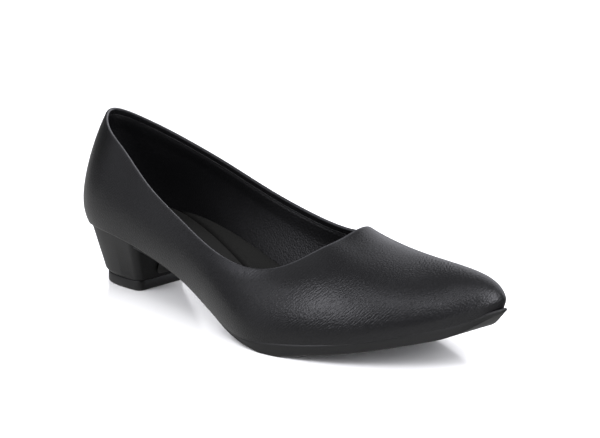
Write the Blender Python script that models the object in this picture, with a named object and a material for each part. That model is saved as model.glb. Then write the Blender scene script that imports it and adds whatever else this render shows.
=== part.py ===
"""A right-foot court pump with a pointed toe, a low topline and a low covered block heel.

The upper is drawn as a last maker would draw it: twelve sections from the toe to the back of the
heel give the feather line (where the upper meets the sole), the topline and the swell between them.
The sole, sock, heel and top piece all follow the same bottom curve.
Lengths in the tables are millimetres. X runs from the heel to the toe, Y to the inner side of the
foot, Z up, and the origin is on the floor under the middle of the shoe.
"""

from collections import namedtuple

import bmesh
import bpy
import numpy as np

MM = 0.001

# Main sizes, which scale the section table
SHOE_LENGTH = 252.0
BALL_WIDTH = 80.0
TABLE_LENGTH = 252.0
TABLE_BALL_WIDTH = 80.0
CENTRE_X = 127.3
CENTRE_Y = -5.5

# Walls and clearances
WALL = 1.8
GAP = 0.3
SOCK = 2.4
TREAD_EDGE = 0.8
TREAD_SIDE = 0.75

# Heel block, its rubber top piece and the breast, the flat front face of the heel
TIP_HEIGHT = 5.0
TIP_EDGE = 0.6
TIP_BACK_X = 15.5
TIP_HALF_WIDTH = 16.5
TIP_SQUARENESS = 2.65
BREAST_FOOT_X = 50.0
BREAST_LEAN = 0.36
BREAST_SKEW = 0.12
HEEL_CORNER = 4.5
HEEL_INSET = 1.4
HEEL_CURL = 0.11
HEEL_CURL_FROM = 0.93

# Tongue of the sole, turned down over the breast
TONGUE_FROM_Y = -5.5
TONGUE_TO_Y = 10.5
TONGUE_FOOT_Z = 7.0
TONGUE_TOP_Z = 26.0
TONGUE_THICK = 1.3
TONGUE_CORNER = 3.0

# Points round the shoe, up the wall, and the fan of ribs at the toe
AROUND = 96
UP = 12
CROWD = 0.45
TOE_SWING = 10.0

Section = namedtuple(
    "Section",
    "name x outer inner floor top_x top_outer top_inner top_z_outer top_z_inner "
    "rise swell_outer swell_inner fan reach drop",
)

# x, outer, inner, floor: the feather line on both sides and its height
# top_*: the topline on both sides
# rise and swell: how steeply and how far the wall leaves the feather line
# fan, reach, drop: heading, length and fall of the wall where it leaves the topline
SECTIONS = [
    Section("tip", 251.5, 12.0, 12.0, 24.0, 184.5, 2.5, 2.5, 50.5, 50.5, 22.0, 1.5, 1.5, 0, 31.5, 15.5),
    Section("toe", 243.0, -3.0, 20.0, 19.2, 183.5, -3.0, 7.0, 50.0, 48.0, 16.5, 2.5, 2.5, 6, 31.0, 12.0),
    Section("side", 230.5, -17.0, 26.0, 15.2, 181.5, -10.0, 11.5, 47.0, 45.5, 12.5, 2.0, 2.0, 18, 26.0, 8.5),
    Section("vamp", 211.0, -31.5, 31.0, 10.4, 178.0, -19.5, 17.5, 43.5, 43.0, 11.0, 2.5, 2.5, 40, 19.5, 5.5),
    Section("fore", 187.0, -41.5, 33.5, 6.4, 167.0, -29.5, 26.5, 36.0, 41.5, 11.0, 2.5, 3.0, 62, 9.5, 6.0),
    Section("ball", 158.5, -45.0, 29.5, 3.8, 147.5, -35.0, 31.0, 32.5, 39.5, 11.0, 2.5, 4.0, 80, 5.0, 9.0),
    Section("joint", 131.0, -37.5, 23.5, 6.6, 123.0, -33.0, 31.5, 36.0, 43.0, 11.0, 3.0, 5.0, 88, 3.5, 10.0),
    Section("waist", 101.0, -30.5, 21.5, 16.2, 97.0, -29.0, 29.0, 45.0, 51.0, 11.0, 3.5, 6.0, 90, 3.5, 11.0),
    Section("shank", 68.0, -28.5, 24.5, 25.4, 69.5, -25.5, 26.5, 57.5, 61.0, 12.0, 4.0, 5.0, 91, 4.0, 13.0),
    Section("seat", 36.0, -26.0, 26.5, 29.6, 45.0, -20.5, 22.5, 71.5, 70.0, 14.0, 3.5, 3.0, 97, 5.5, 17.0),
    Section("heel", 13.0, -15.5, 15.5, 29.4, 24.5, -13.0, 14.0, 81.0, 79.0, 13.0, 7.5, 7.5, 128, 8.5, 19.5),
    Section("back", 7.0, 0.0, 0.0, 28.8, 13.0, 1.5, 1.5, 85.0, 85.0, 13.0, 9.0, 9.0, 180, 11.5, 19.0),
]

SoleRow = namedtuple("SoleRow", "x thick edge")

# Thickness of the sole and how far its edge stands out past the upper, from the heel to the toe
SOLE_ROWS = [
    SoleRow(50.0, 1.4, -1.0),
    SoleRow(75.0, 1.1, -1.2),
    SoleRow(100.0, 1.0, -1.4),
    SoleRow(120.0, 1.0, -1.2),
    SoleRow(135.0, 1.0, -0.6),
    SoleRow(147.0, 1.3, -0.2),
    SoleRow(158.0, 2.4, 0.2),
    SoleRow(168.0, 4.3, 0.5),
    SoleRow(176.0, 4.7, 0.6),
    SoleRow(190.0, 3.5, 0.7),
    SoleRow(235.0, 3.0, 0.8),
    SoleRow(252.0, 2.8, 1.2),
]

Finish = namedtuple("Finish", "colour roughness metallic")

FINISHES = {
    "upper": Finish((0.024, 0.024, 0.026), 0.48, 0.0),
    "outsole": Finish((0.012, 0.012, 0.012), 0.62, 0.0),
    "insole": Finish((0.009, 0.009, 0.009), 0.80, 0.0),
    "heel": Finish((0.020, 0.020, 0.021), 0.42, 0.0),
    "heel_tip": Finish((0.010, 0.010, 0.010), 0.60, 0.0),
}


def rib_rows():
    """The sections unrolled round the shoe: toe, outer side, back of the heel, inner side."""
    long = SHOE_LENGTH / TABLE_LENGTH
    wide = BALL_WIDTH / TABLE_BALL_WIDTH
    outer = []
    inner = []
    for s in SECTIONS:
        swing = TOE_SWING * max(0.0, 1.0 - s.fan / 60.0) ** 1.5
        common = (s.reach, s.drop)
        outer.append(
            (s.x * long, s.outer * wide, s.floor, s.top_x * long, s.top_outer * wide, s.top_z_outer)
            + (s.rise, s.swell_outer, swing - s.fan) + common
        )
        inner.append(
            (s.x * long, s.inner * wide, s.floor, s.top_x * long, s.top_inner * wide, s.top_z_inner)
            + (s.rise, s.swell_inner, swing + s.fan - 360.0) + common
        )
    return np.array(outer + inner[-2:0:-1])


def closed_spline(knots, values, at):
    """A smooth curve through the rows that closes on itself."""
    count = len(values)
    step = np.diff(knots)
    before = np.roll(step, 1)
    row = np.arange(count)
    matrix = np.zeros((count, count))
    matrix[row, row] = 2.0 * (step + before)
    matrix[row, (row + 1) % count] += step
    matrix[row, row - 1] += before
    following = np.roll(values, -1, axis=0)
    slope = (following - values) / step[:, None]
    bend = np.linalg.solve(matrix, 6.0 * (slope - np.roll(slope, 1, axis=0)))
    bend_next = np.roll(bend, -1, axis=0)
    k = np.clip(np.searchsorted(knots, at, side="right") - 1, 0, count - 1)
    a = ((knots[k + 1] - at) / step[k])[:, None]
    b = 1.0 - a
    curve = ((a**3 - a) * bend[k] + (b**3 - b) * bend_next[k]) * (step[k] ** 2)[:, None] / 6.0
    return a * values[k] + b * following[k] + curve


ROWS = rib_rows()


def row_knots():
    """Places of the rows round the shoe, the same on the outer and the inner side."""
    feather = ROWS[:, :3]
    step = np.linalg.norm(np.roll(feather, -1, axis=0) - feather, axis=1)
    step = 0.5 * (step + step[::-1])
    places = np.concatenate([[0.0], np.cumsum(step)])
    return places / places[-1]


KNOTS = row_knots()


def rib_controls(u):
    """Feather point, two handles and topline point of the ribs at u, with the outward direction."""
    values = ROWS.copy()
    values[:, 8] += 360.0 * KNOTS[:-1]
    rows = closed_spline(KNOTS, values, u)
    heading = np.radians(rows[:, 8] - 360.0 * u)
    tiny = 1e-4
    run = closed_spline(KNOTS, ROWS[:, :2], (u + tiny) % 1.0)
    run = run - closed_spline(KNOTS, ROWS[:, :2], (u - tiny) % 1.0)
    out = np.stack([-run[:, 1], run[:, 0]], axis=1)
    out /= np.linalg.norm(out, axis=1)[:, None]
    feather = rows[:, 0:3]
    topline = rows[:, 3:6]
    lower = feather + np.column_stack([out * rows[:, 7:8], rows[:, 6]])
    ahead = np.column_stack([np.cos(heading), np.sin(heading)]) * rows[:, 9:10]
    upper = topline + np.column_stack([ahead, -rows[:, 10]])
    return feather, lower, upper, topline, out


def outer_wall(u, v):
    """Points of the outer face: u goes round from the toe, v from the feather line to the topline."""
    feather, lower, upper, topline, _ = rib_controls(u)
    v = np.asarray(v)[None, :, None]
    w = 1.0 - v
    wall = w**3 * feather[:, None] + 3.0 * v * w**2 * lower[:, None]
    return wall + 3.0 * v**2 * w * upper[:, None] + v**3 * topline[:, None]


def wall_normals(u, v):
    """Directions square to the outer face, pointing out of the shoe."""
    tiny = 1e-4
    round_ = outer_wall((u + tiny) % 1.0, v) - outer_wall((u - tiny) % 1.0, v)
    up_hi = np.clip(v + tiny, 0.0, 1.0)
    up_lo = np.clip(v - tiny, 0.0, 1.0)
    upward = outer_wall(u, up_hi) - outer_wall(u, up_lo)
    normal = np.cross(upward, round_)
    return normal / np.linalg.norm(normal, axis=2)[:, :, None]


def places_round(count):
    """Values of u round the shoe, closer together at the toe and at the back of the heel."""
    t = np.arange(count) / count
    return t - CROWD * np.sin(4.0 * np.pi * t) / (4.0 * np.pi)


DENSE_U = np.linspace(0.0, 0.5, 600)
DENSE_LINE = rib_controls(DENSE_U)[0]


def floor_height(x):
    """Height of the bottom curve, the underside of the upper, at x."""
    return np.interp(x, DENSE_LINE[::-1, 0], DENSE_LINE[::-1, 2])


def place_at(x):
    """The value of u on the outer side where the feather line is at x."""
    return np.interp(-x, -DENSE_LINE[:, 0], DENSE_U)


def breast_x(y, z):
    """The flat front of the heel, leaning and a little askew."""
    return BREAST_FOOT_X + BREAST_LEAN * (z - TIP_HEIGHT) - BREAST_SKEW * y


def build_object(name, rings, closed_tube):
    """One solid from rings of points: a closed tube, or a stack whose first and last rings are filled."""
    count = len(rings[0])
    mesh = bmesh.new()
    rows = []
    for ring in rings:
        shifted = (np.asarray(ring) - (CENTRE_X, CENTRE_Y, 0.0)) * MM
        rows.append([mesh.verts.new(point) for point in shifted.tolist()])
    pairs = list(zip(rows[:-1], rows[1:]))
    if closed_tube:
        pairs.append((rows[-1], rows[0]))
    for low, high in pairs:
        for i in range(count):
            j = (i + 1) % count
            mesh.faces.new((low[i], low[j], high[j], high[i]))
    if not closed_tube:
        for row in (rows[0], rows[-1]):
            fill_across(mesh, row)
    bmesh.ops.recalc_face_normals(mesh, faces=mesh.faces)
    if mesh.calc_volume(signed=True) < 0.0:
        bmesh.ops.reverse_faces(mesh, faces=mesh.faces)
    bmesh.ops.triangulate(mesh, faces=mesh.faces)
    data = bpy.data.meshes.new(name)
    mesh.to_mesh(data)
    mesh.free()
    data.shade_smooth()
    data.set_sharp_from_angle(angle=np.radians(40.0))
    obj = bpy.data.objects.new(name, data)
    bpy.context.collection.objects.link(obj)
    return obj


def fill_across(mesh, ring):
    """Fills a ring with strips that run across the shoe, from each outer point to its inner partner."""
    count = len(ring)
    for i in range(count // 2):
        corners = []
        for k in (i, i + 1, count - i - 1, count - i):
            vert = ring[k % count]
            if vert not in corners:
                corners.append(vert)
        mesh.faces.new(corners)


def make_upper():
    """The hollow wall: outer face up, over the topline, inner face down, and across the rim."""
    u = places_round(AROUND)
    v = np.linspace(0.0, 1.0, UP + 1)
    outside = outer_wall(u, v)
    normal = wall_normals(u, v)
    feather, _, _, _, out = rib_controls(u)
    blend = np.clip(v / 0.3, 0.0, 1.0)
    blend = (blend * blend * (3.0 - 2.0 * blend))[None, :, None]
    level = np.column_stack([out, np.zeros(len(u))])[:, None, :]
    inside = outside - WALL * ((1.0 - blend) * level + blend * normal)
    settle = floor_height(inside[:, 0, 0]) - inside[:, 0, 2]
    inside[:, :, 2] += settle[:, None] * (1.0 - blend[:, :, 0])
    rings = [outside[:, k] for k in range(UP + 1)]
    rings += [inside[:, k] for k in range(UP, -1, -1)]
    return build_object("upper", rings, True)


def sole_outline(s, depth, extra):
    """The sole's edge from the toe to the breast, both sides, at a share of its thickness."""
    place_outer = place_at(breast_x(-26.0, 26.0) + GAP)
    place_inner = place_at(breast_x(26.0, 26.0) + GAP)
    u = np.concatenate([s * place_outer, 1.0 - s[:0:-1] * place_inner])
    feather, _, _, _, out = rib_controls(u)
    rows = np.array(SOLE_ROWS)
    edge = np.interp(feather[:, 0], rows[:, 0], rows[:, 2]) - extra
    line = feather.copy()
    line[:, :2] += out * edge[:, None]
    thick = np.interp(feather[:, 0], rows[:, 0], rows[:, 1])
    line[:, 2] = feather[:, 2] - GAP - depth * thick
    line[:, 2] = np.maximum(line[:, 2], 0.0)
    last = len(s) - 1
    for k in (last, last + 1):
        line[k, 0] = breast_x(line[k, 1], line[k, 2]) + GAP * 1.1
    return line


def make_outsole():
    """Thin sole with toe spring and arch; its tongue turns down over the breast of the heel."""
    steps = np.linspace(0.0, 1.0, 45)
    s = steps ** 1.25
    rings = [
        sole_outline(s, 0.0, 0.0),
        sole_outline(s, TREAD_SIDE, 0.0),
        sole_outline(s, 1.0, TREAD_EDGE),
    ]
    sole = build_object("outsole", rings, False)
    tongue = make_tongue()
    join = sole.modifiers.new("tongue", "BOOLEAN")
    join.operation = "UNION"
    join.solver = "EXACT"
    join.object = tongue
    tongue.hide_render = True
    tongue.display_type = "WIRE"
    return sole, tongue


def make_tongue():
    """A thin plate on the breast with rounded lower corners, reaching up into the sole."""
    turn = np.radians(np.linspace(0.0, 90.0, 5))
    right = np.column_stack([
        TONGUE_FROM_Y + TONGUE_CORNER * (1.0 - np.sin(turn)),
        TONGUE_FOOT_Z + TONGUE_CORNER * (1.0 - np.cos(turn)),
    ])
    left = np.column_stack([TONGUE_FROM_Y + TONGUE_TO_Y - right[:, 0], right[:, 1]])
    line = np.vstack([right, [[TONGUE_FROM_Y, TONGUE_TOP_Z]], [[TONGUE_TO_Y, TONGUE_TOP_Z]], left[::-1]])
    rings = []
    for stand in (GAP * 1.1, GAP * 1.1 + TONGUE_THICK):
        rings.append(np.column_stack([breast_x(line[:, 0], line[:, 1]) + stand, line]))
    return build_object("tongue", rings, False)


def make_insole():
    """The sock: a thin sheet on the bottom curve, just clear of the wall all round."""
    u = places_round(AROUND)
    feather, _, _, _, out = rib_controls(u)
    rings = []
    for height in (0.0, SOCK):
        line = feather.copy()
        line[:, :2] -= out * (WALL + 1.4 * GAP)
        line[:, 2] = floor_height(line[:, 0]) + height
        rings.append(line)
    return build_object("insole", rings, False)


def heel_line(side, corner_in, foot):
    """One outline of the heel from the middle of its back, round the outer side to the breast and back."""
    z = TIP_HEIGHT if foot else 26.0
    front = [breast_x(side[0, 1], z), breast_x(side[-1, 1], z)]
    soft = np.linspace(0.0, 1.0, 6)[1:, None]
    half = len(side) // 2
    outer = side[half::-1]
    inner = side[half:]
    arcs = []
    for way, x_front in ((outer, front[0]), (inner, front[1])):
        start = way[-1]
        corner = np.array([x_front, start[1]])
        end = np.array([0.0, start[1] - np.sign(start[1]) * corner_in])
        end[0] = breast_x(end[1], z)
        corner[0] = breast_x(corner[1], z)
        arcs.append((1 - soft) ** 2 * start + 2 * soft * (1 - soft) * corner + soft**2 * end)
    return np.vstack([outer, arcs[0], arcs[1][::-1], inner[:0:-1]])


def even_steps(line, count):
    """Points at equal distances along a line."""
    run = np.concatenate([[0.0], np.cumsum(np.linalg.norm(np.diff(line, axis=0), axis=1))])
    at = np.linspace(0.0, run[-1], count)
    return np.column_stack([np.interp(at, run, line[:, k]) for k in range(line.shape[1])])


def heel_outlines(count=33):
    """The heel's outline under the upper and at the floor, with matching points."""
    from_u = place_at(breast_x(-26.0, 26.0) - HEEL_CORNER)
    to_u = 1.0 - place_at(breast_x(26.0, 26.0) - HEEL_CORNER)
    feather, _, _, _, out = rib_controls(np.linspace(from_u, to_u, 200))
    half = 100
    seat = feather[:, :2] - out * HEEL_INSET
    top = np.vstack([even_steps(seat[:half + 1], count // 2 + 1), even_steps(seat[half:], count // 2 + 1)[1:]])
    angle = np.radians(np.linspace(-90.0, 90.0, 201))
    deep = breast_x(0.0, TIP_HEIGHT) - HEEL_CORNER - TIP_BACK_X
    square = 2.0 / TIP_SQUARENESS
    curve = np.column_stack([
        TIP_BACK_X + deep - deep * np.abs(np.cos(angle)) ** square,
        TIP_HALF_WIDTH * np.sign(np.sin(angle)) * np.abs(np.sin(angle)) ** square,
    ])
    curve[:, 0] -= BREAST_SKEW * curve[:, 1]
    foot = np.vstack([even_steps(curve[:101], count // 2 + 1), even_steps(curve[100:], count // 2 + 1)[1:]])
    return heel_line(top, HEEL_CORNER, False), heel_line(foot, HEEL_CORNER, True)


def make_heel():
    """The covered block: it tapers from the seat and its cover curls in just above the top piece."""
    top, foot = heel_outlines()
    behind = np.clip((breast_x(top[:, 1], 26.0) - HEEL_CORNER - top[:, 0]) / 12.0, 0.0, 1.0)
    high = floor_height(top[:, 0]) - GAP
    low = TIP_HEIGHT + GAP
    rings = []
    for t in (0.0, 0.25, 0.5, 0.75, HEEL_CURL_FROM, 1.0):
        held_back = HEEL_CURL * behind if t < 1.0 else 0.0 * behind
        taper = (t * (1.0 - held_back))[:, None]
        plan = (1.0 - taper) * top + taper * foot
        rings.append(np.column_stack([plan, (1.0 - t) * high + t * low]))
    return build_object("heel", rings, False)


def make_heel_tip():
    """The rubber top piece, with a softened lower edge."""
    _, foot = heel_outlines()
    middle = foot.mean(axis=0)
    shrink = middle + (foot - middle) * (1.0 - TIP_EDGE / TIP_HALF_WIDTH)
    flat = np.ones(len(foot))
    rings = [
        np.column_stack([foot, flat * TIP_HEIGHT]),
        np.column_stack([foot, flat * TIP_EDGE]),
        np.column_stack([shrink, flat * 0.0]),
    ]
    return build_object("heel_tip", rings, False)


def give_finish(obj):
    """The piece's own material."""
    finish = FINISHES[obj.name]
    material = bpy.data.materials.new(obj.name)
    material.use_nodes = True
    shader = material.node_tree.nodes["Principled BSDF"]
    shader.inputs["Base Color"].default_value = (*finish.colour, 1.0)
    shader.inputs["Roughness"].default_value = finish.roughness
    shader.inputs["Metallic"].default_value = finish.metallic
    obj.data.materials.append(material)


def main():
    for old in list(bpy.data.objects):
        bpy.data.objects.remove(old, do_unlink=True)
    shoe = bpy.data.objects.new("block_heel_shoe", None)
    bpy.context.collection.objects.link(shoe)
    sole, tongue = make_outsole()
    pieces = [make_upper(), sole, make_insole(), make_heel(), make_heel_tip()]
    for piece in pieces:
        give_finish(piece)
        piece.parent = shoe
    tongue.parent = shoe


main()
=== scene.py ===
"""Looks of a plain black court pump with a low covered block heel, for the right foot.

Every piece follows the same last as the solids: twelve sections give the feather line (where the
upper meets the sole), the topline and the swell between them. Lengths in the tables are
millimetres in the last's own frame, heel to toe along X, inner side of the foot along Y, Z up.
put_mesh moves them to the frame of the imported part, in metres.
"""

from collections import namedtuple

import bmesh
import bpy
import numpy as np
from bpy.props import FloatProperty, FloatVectorProperty, IntProperty, PointerProperty
from bpy.types import Operator, Panel, PropertyGroup
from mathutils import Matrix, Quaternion, Vector


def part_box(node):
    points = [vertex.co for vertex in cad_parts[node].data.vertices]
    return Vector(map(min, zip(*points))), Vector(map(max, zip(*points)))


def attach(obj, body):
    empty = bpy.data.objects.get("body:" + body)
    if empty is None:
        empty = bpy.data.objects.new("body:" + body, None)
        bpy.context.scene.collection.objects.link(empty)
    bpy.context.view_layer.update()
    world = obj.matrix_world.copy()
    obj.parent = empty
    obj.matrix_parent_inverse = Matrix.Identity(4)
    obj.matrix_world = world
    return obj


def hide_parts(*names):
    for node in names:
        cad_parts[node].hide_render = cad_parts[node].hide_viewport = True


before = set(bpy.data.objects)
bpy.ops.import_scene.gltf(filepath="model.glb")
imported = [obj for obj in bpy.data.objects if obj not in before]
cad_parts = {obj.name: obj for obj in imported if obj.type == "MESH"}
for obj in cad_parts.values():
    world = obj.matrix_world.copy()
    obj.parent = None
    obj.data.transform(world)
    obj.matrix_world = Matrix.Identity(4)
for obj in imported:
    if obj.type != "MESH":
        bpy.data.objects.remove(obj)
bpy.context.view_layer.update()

bl_info = {
    "name": "Block heel pump",
    "version": (1, 0, 0),
    "blender": (4, 5, 0),
    "location": "3D View > Sidebar > Pump",
    "description": "Dresses the packed solids of a block heel pump with leather, lining and rubber",
    "category": "Mesh",
}

MM = 0.001
BODY = "root"

Section = namedtuple(
    "Section",
    "name x outer inner floor top_x top_outer top_inner top_z_outer top_z_inner "
    "rise swell_outer swell_inner fan reach drop",
)

# x, outer, inner, floor: the feather line on both sides and its height
# top_*: the topline on both sides
# rise and swell: how steeply and how far the wall leaves the feather line
# fan, reach, drop: heading, length and fall of the wall where it leaves the topline
SECTIONS = [
    Section("tip", 251.5, 12.0, 12.0, 24.0, 184.5, 2.5, 2.5, 50.5, 50.5, 22.0, 1.5, 1.5, 0, 31.5, 15.5),
    Section("toe", 243.0, -3.0, 20.0, 19.2, 183.5, -3.0, 7.0, 50.0, 48.0, 16.5, 2.5, 2.5, 6, 31.0, 12.0),
    Section("side", 230.5, -17.0, 26.0, 15.2, 181.5, -10.0, 11.5, 47.0, 45.5, 12.5, 2.0, 2.0, 18, 26.0, 8.5),
    Section("vamp", 211.0, -31.5, 31.0, 10.4, 178.0, -19.5, 17.5, 43.5, 43.0, 11.0, 2.5, 2.5, 40, 19.5, 5.5),
    Section("fore", 187.0, -41.5, 33.5, 6.4, 167.0, -29.5, 26.5, 36.0, 41.5, 11.0, 2.5, 3.0, 62, 9.5, 6.0),
    Section("ball", 158.5, -45.0, 29.5, 3.8, 147.5, -35.0, 31.0, 32.5, 39.5, 11.0, 2.5, 4.0, 80, 5.0, 9.0),
    Section("joint", 131.0, -37.5, 23.5, 6.6, 123.0, -33.0, 31.5, 36.0, 43.0, 11.0, 3.0, 5.0, 88, 3.5, 10.0),
    Section("waist", 101.0, -30.5, 21.5, 16.2, 97.0, -29.0, 29.0, 45.0, 51.0, 11.0, 3.5, 6.0, 90, 3.5, 11.0),
    Section("shank", 68.0, -28.5, 24.5, 25.4, 69.5, -25.5, 26.5, 57.5, 61.0, 12.0, 4.0, 5.0, 91, 4.0, 13.0),
    Section("seat", 36.0, -26.0, 26.5, 29.6, 45.0, -20.5, 22.5, 71.5, 70.0, 14.0, 3.5, 3.0, 97, 5.5, 17.0),
    Section("heel", 13.0, -15.5, 15.5, 29.4, 24.5, -13.0, 14.0, 81.0, 79.0, 13.0, 7.5, 7.5, 128, 8.5, 19.5),
    Section("back", 7.0, 0.0, 0.0, 28.8, 13.0, 1.5, 1.5, 85.0, 85.0, 13.0, 9.0, 9.0, 180, 11.5, 19.0),
]

# How far the toe's ribs swing to the inner side, the fan at which that has faded, and how it eases
TOE_SWING = 10.0
TOE_SWING_FAN = 60.0
TOE_SWING_EASE = 1.5

# Fan, reach and drop of the outer side where it leaves the topline steeper than the inner side
OUTER_LEAVE = {"vamp": (45.0, 17.5, 9.25), "fore": (63.5, 9.75, 7.1)}

# The sole from the heel to the toe: x, thickness, and how far its edge stands out past the upper
SOLE_ROWS = [
    (50.0, 1.4, -1.0), (75.0, 1.1, -1.2), (100.0, 1.0, -1.4), (120.0, 1.0, -1.2),
    (135.0, 1.0, -0.6), (147.0, 1.3, -0.2), (158.0, 2.4, 0.2), (168.0, 4.3, 0.5),
    (176.0, 4.7, 0.6), (190.0, 3.7, 0.6), (215.0, 3.8, -0.3), (235.0, 4.1, -1.1),
    (244.0, 3.8, -1.1), (248.0, 3.1, -0.8), (250.5, 2.4, -0.1), (252.0, 1.9, 0.9),
]

# The heel block, its rubber top piece and the breast, the flat front face of the heel
GAP = 0.3
BREAST_GAP = 1.1 * GAP
TIP_HEIGHT = 5.0
TIP_BACK_X = 15.5
TIP_HALF_WIDTH = 16.5
TIP_SQUARENESS = 2.65
SEAT_HALF_WIDTH = 26.0
SEAT_HEIGHT = 26.0
BREAST_FOOT_X = 50.0
BREAST_LEAN = 0.36
BREAST_SKEW = 0.12
HEEL_CORNER = 4.5
HEEL_INSET = 1.4

# Behind the breast the heel's taper is held back by a share, and it catches up in a curl at its foot
HEEL_CURL = 0.11
HEEL_CURL_FROM = 0.93
HEEL_CURL_REACH = 12.0

# Edge of the rubber top piece from its top to the floor: inset and height
TIP_EDGE = [(0.35, 5.0), (0.1, 4.9), (0.0, 4.6), (0.0, 0.7), (0.12, 0.3), (0.35, 0.08), (0.7, 0.0)]

# The sole's tongue, turned down over the breast; its edge is a share of its thickness and an inset
TONGUE_FROM_Y = -5.5
TONGUE_TO_Y = 10.5
TONGUE_FOOT_Z = 7.0
TONGUE_TOP_Z = 26.0
TONGUE_THICK = 0.6
TONGUE_CORNER = 3.0
TONGUE_EDGE = [(0.0, 0.0), (0.6, 0.0), (0.87, 0.08), (1.0, 0.3)]

# The last's frame sits in the part's frame by the toe's tip and the middle of the heel tip
TIP_LOW, TIP_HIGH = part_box("heel_tip")
CENTRE = np.array([
    SECTIONS[0].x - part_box("upper")[1].x / MM,
    -0.5 * (TIP_LOW.y + TIP_HIGH.y) / MM,
    0.0,
])

# The photograph's camera: its place round the shoe and what it looks at, in the last's frame
VIEW_AZIMUTH = -45.0
VIEW_ELEVATION = 12.0
VIEW_DISTANCE = 700.0
VIEW_TARGET = (145.8, 0.0, 47.9)
VIEW_LENS = 94.3
VIEW_SENSOR = 36.0


def linear(text):
    """Linear colour of an sRGB hex value: a straight foot below 0.04045, a 2.4 power above it."""
    srgb = np.array([int(text[i:i + 2], 16) for i in (0, 2, 4)]) / 255.0
    return tuple(np.where(srgb <= 0.04045, srgb / 12.92, ((srgb + 0.055) / 1.055) ** 2.4).tolist())


def length(name, description, mm):
    """A length in millimetres that the panel shows in the scene's unit."""
    return FloatProperty(name=name, description=description, default=mm * MM, unit="LENGTH")


def swatch(name, description, text):
    """A colour from an sRGB hex value."""
    return FloatVectorProperty(name=name, description=description, subtype="COLOR", default=linear(text))


class PumpSizes(PropertyGroup):
    """Sizes of the dressed pieces."""

    wall: length("Wall", "Thickness of leather and lining together", 1.8)
    band: length("Turned band", "Depth of the leather turned in over the topline", 1.9)
    padding: length("Collar padding", "How far the lining swells just under the turned band", 0.4)
    sock: length("Sock", "Thickness of the sock inside the shoe", 2.4)
    heel_sock: length("Heel sock", "Thickness of the half sock that lies on the sock", 1.4)
    rib_pitch: length("Tread pitch", "Distance between the cross ribs under the sole", 3.0)
    rib_depth: length("Tread depth", "Depth of the grooves between the ribs", 0.4)
    around: IntProperty(name="Round", description="Points round the topline", default=440, min=48)


class PumpColours(PropertyGroup):
    """Colours of the materials."""

    leather: swatch("Leather", "Pebbled faux leather of the upper", "181819")
    lining: swatch("Lining", "Grained lining", "0f0f10")
    cover: swatch("Heel cover", "Smooth cover of the heel block", "141415")
    rubber: swatch("Rubber", "Sole and heel tip", "131313")
    sock: swatch("Sock", "Sock and half sock", "2a2a28")
    floor: swatch("Floor", "Polished white studio floor", "f4f4f4")


def rib_rows():
    """The sections unrolled round the shoe: toe, outer side, back of the heel, inner side."""
    outer = []
    inner = []
    for s in SECTIONS:
        swing = TOE_SWING * max(0.0, 1.0 - s.fan / TOE_SWING_FAN) ** TOE_SWING_EASE
        fan, reach, drop = OUTER_LEAVE.get(s.name, (s.fan, s.reach, s.drop))
        outer.append(
            (s.x, s.outer, s.floor, s.top_x, s.top_outer, s.top_z_outer)
            + (s.rise, s.swell_outer, swing - fan, reach, drop)
        )
        inner.append(
            (s.x, s.inner, s.floor, s.top_x, s.top_inner, s.top_z_inner)
            + (s.rise, s.swell_inner, swing + s.fan - 360.0, s.reach, s.drop)
        )
    return np.array(outer + inner[-2:0:-1])


def closed_spline(knots, values, at):
    """Cubic spline through the rows that closes on itself: its second derivatives solve one ring
    of equations, and each stretch is the usual blend of end values and end bends."""
    count = len(values)
    step = np.diff(knots)
    before = np.roll(step, 1)
    row = np.arange(count)
    matrix = np.zeros((count, count))
    matrix[row, row] = 2.0 * (step + before)
    matrix[row, (row + 1) % count] += step
    matrix[row, row - 1] += before
    following = np.roll(values, -1, axis=0)
    slope = (following - values) / step[:, None]
    bend = np.linalg.solve(matrix, 6.0 * (slope - np.roll(slope, 1, axis=0)))
    bend_next = np.roll(bend, -1, axis=0)
    k = np.clip(np.searchsorted(knots, at, side="right") - 1, 0, count - 1)
    a = ((knots[k + 1] - at) / step[k])[:, None]
    b = 1.0 - a
    curve = ((a**3 - a) * bend[k] + (b**3 - b) * bend_next[k]) * (step[k] ** 2)[:, None] / 6.0
    return a * values[k] + b * following[k] + curve


# The rows and the column of their headings; a small step of u or v for differences
ROWS = rib_rows()
HEADING = 8
TINY = 1e-4


def row_knots():
    """Places of the rows by the distance between them, the same on the outer and the inner side."""
    feather = ROWS[:, :3]
    step = np.linalg.norm(np.roll(feather, -1, axis=0) - feather, axis=1)
    step = 0.5 * (step + step[::-1])
    places = np.concatenate([[0.0], np.cumsum(step)])
    return places / places[-1]


KNOTS = row_knots()


def rib_controls(u):
    """Feather point, two handles and topline point of the ribs at u, with the outward direction. The
    headings turn once round the shoe, so the spline runs through what is left without that turn."""
    values = ROWS.copy()
    values[:, HEADING] += 360.0 * KNOTS[:-1]
    rows = closed_spline(KNOTS, values, u)
    rise, swell, heading, reach, drop = rows[:, 6:].T
    heading = np.radians(heading - 360.0 * u)
    run = closed_spline(KNOTS, ROWS[:, :2], (u + TINY) % 1.0)
    run = run - closed_spline(KNOTS, ROWS[:, :2], (u - TINY) % 1.0)
    out = np.stack([-run[:, 1], run[:, 0]], axis=1)
    out /= np.linalg.norm(out, axis=1)[:, None]
    feather = rows[:, 0:3]
    topline = rows[:, 3:6]
    lower = feather + np.column_stack([out * swell[:, None], rise])
    ahead = np.column_stack([np.cos(heading), np.sin(heading)]) * reach[:, None]
    upper = topline + np.column_stack([ahead, -drop])
    return feather, lower, upper, topline, out


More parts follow.
